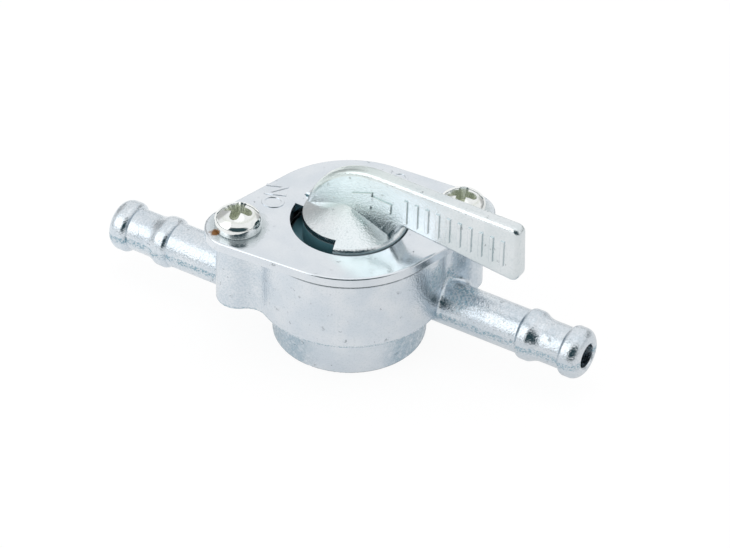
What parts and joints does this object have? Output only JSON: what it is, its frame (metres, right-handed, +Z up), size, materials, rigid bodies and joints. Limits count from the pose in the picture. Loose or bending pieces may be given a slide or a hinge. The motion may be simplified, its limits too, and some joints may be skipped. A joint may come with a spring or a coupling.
{
  "type": "fuel tap",
  "caption": "In-line fuel tap: round die-cast housing with offset beaded hose barbs, screwed cover plate and a flat quarter-turn lever on a conical hub.",
  "frame": {"origin": "on the rotor's axis, in the plane of the boss's flat bottom", "axes": "+X along the right-hand barb and the lever in its ON position, +Y away from the viewer, +Z up through the cover"},
  "size_m": [0.0752, 0.0306, 0.0304],
  "materials": {
    "body_casting": "zinc-plated zinc die casting, fine cast grain",
    "cover_casting": "zinc-plated zinc die casting, smooth satin",
    "lever_casting": "zinc-plated zinc die casting, smooth satin with a pale greenish tint",
    "screw_steel": "bright plated steel",
    "spring_steel": "spring steel",
    "seal_rubber": "black nitrile rubber"
  },
  "bodies": {
    "housing": {"body": "body_casting", "cover_plate": "cover_casting", "cover_screws": "screw_steel", "wave_washer": "spring_steel", "valve_seal": "seal_rubber"},
    "lever": {"lever": "lever_casting", "rotor_seal": "seal_rubber"}
  },
  "joints": [
    {"name": "lever_turn", "type": "hinge", "parent": "housing", "child": "lever", "pos_m": [0, 0, 0.015], "axis": [0, 0, 1], "range_deg": [-90, 0]}
  ]
}
